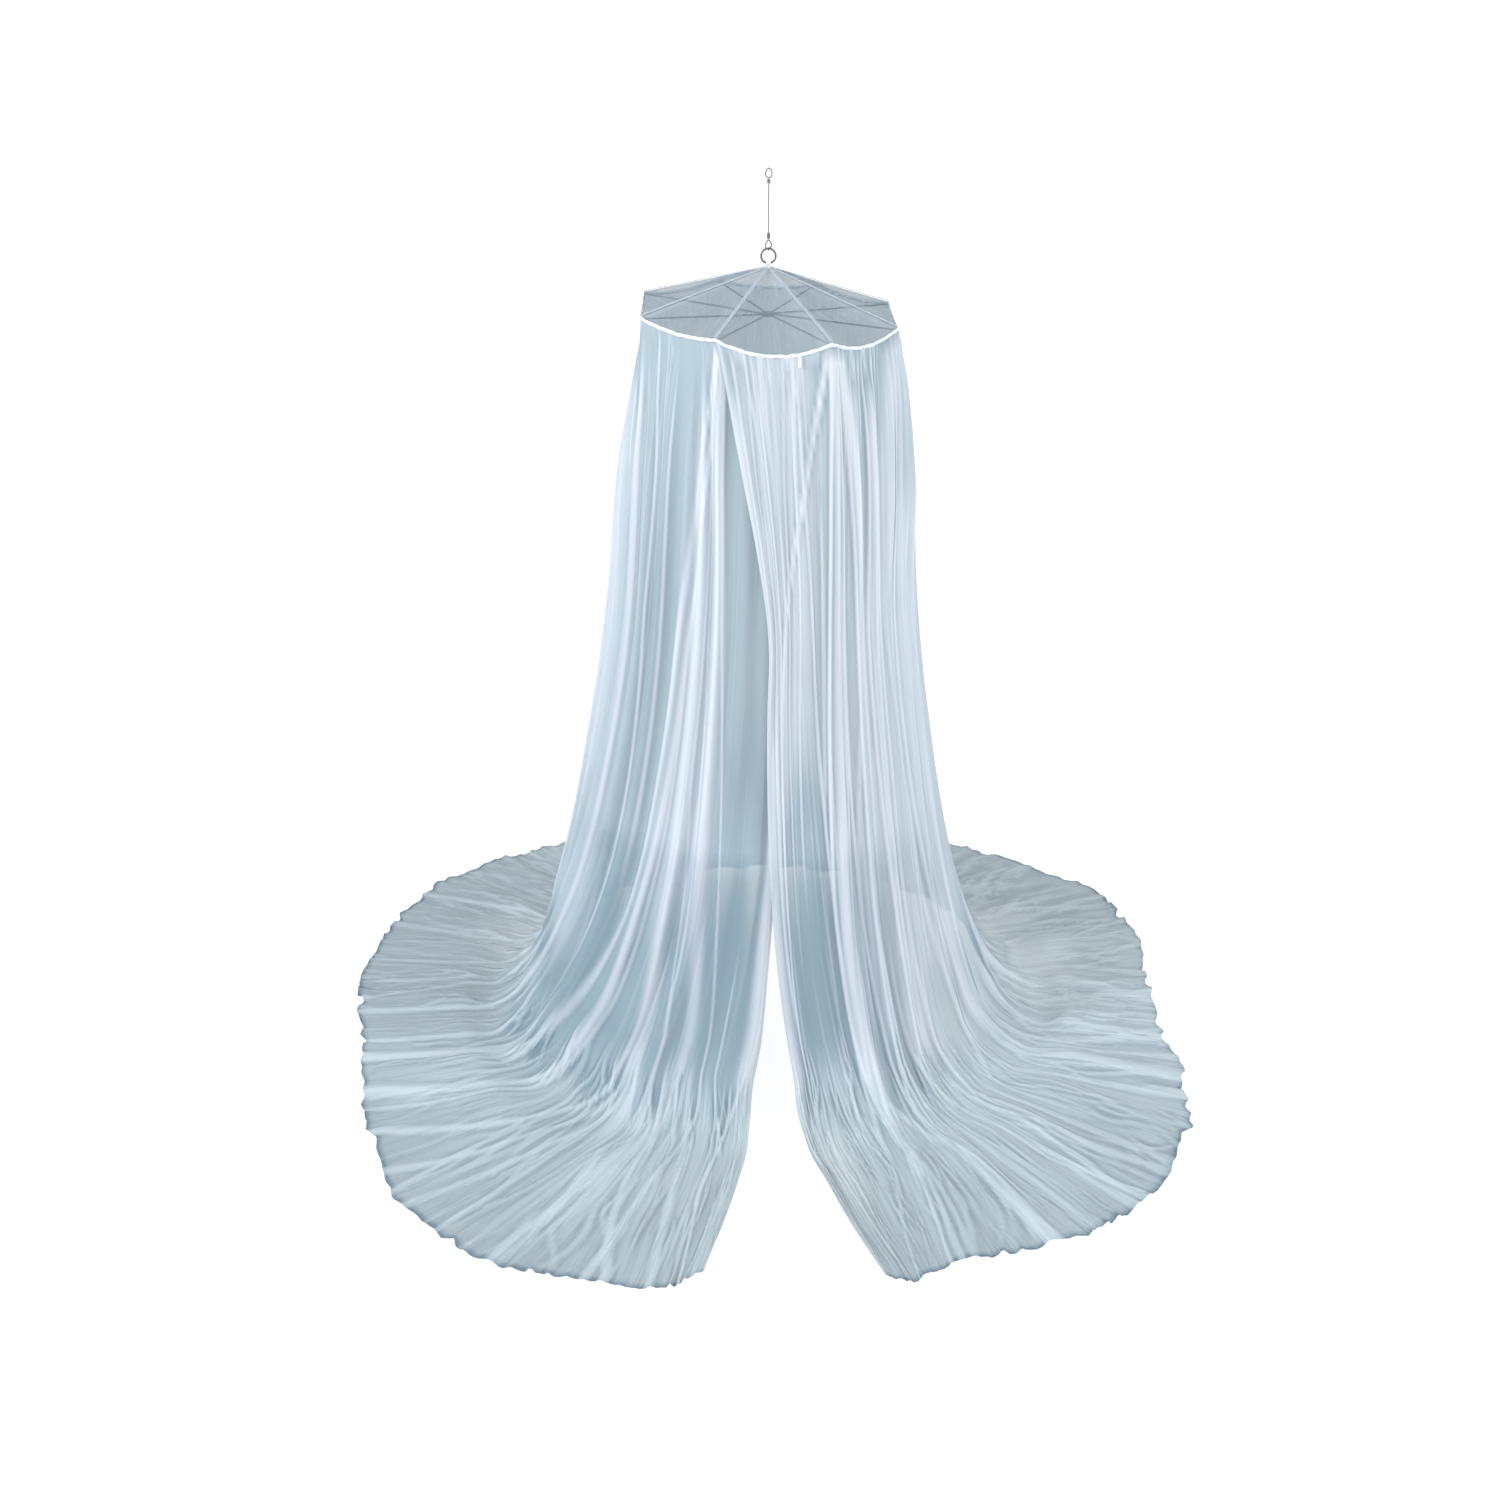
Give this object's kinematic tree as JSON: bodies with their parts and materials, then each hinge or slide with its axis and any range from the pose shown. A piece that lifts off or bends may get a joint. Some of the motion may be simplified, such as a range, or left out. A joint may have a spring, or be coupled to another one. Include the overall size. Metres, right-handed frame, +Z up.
{
  "type": "mosquito net canopy with spreader frame",
  "caption": "Sheer bell-shaped net on an octagonal spreader, hung by a ring and cord, with an overlapping front opening and a long skirt spread on the floor.",
  "frame": {"origin": "inside top of the hanging cord's upper loop, where a ceiling hook bears, straight above the spreader's centre; the floor is at z = -2.222 m", "axes": "+Z up along the hanging cord; -Y towards the front opening; +X to the right seen from the front"},
  "size_m": [2.1911, 2.258, 2.2245],
  "materials": {
    "net": "sheer fine polyester net, white with a cool cast",
    "tape": "white woven polyester tape",
    "rod": "dark grey satin coated wire rod",
    "hub": "grey matt moulded plastic",
    "ring": "plain steel wire ring",
    "cord": "thin twisted grey cord"
  },
  "bodies": {
    "root": {"net_skirt": "net", "roof_cloth": "net", "rim_tape": "tape", "ridge_tape_1": "tape", "ridge_tape_2": "tape", "ridge_tape_3": "tape", "ridge_tape_4": "tape", "ridge_tape_5": "tape", "ridge_tape_6": "tape", "ridge_tape_7": "tape", "ridge_tape_8": "tape", "tape_tab": "tape", "ring_eye": "tape", "spreader_hub": "hub", "spreader_arm_1": "rod", "spreader_arm_2": "rod", "spreader_arm_3": "rod", "spreader_arm_4": "rod", "spreader_arm_5": "rod", "spreader_arm_6": "rod", "spreader_arm_7": "rod", "spreader_arm_8": "rod", "metal_ring": "ring", "ring_loop": "cord", "cord_knot": "cord", "hanging_cord": "cord", "top_knot": "cord", "hook_loop": "cord"}
  },
  "joints": []
}
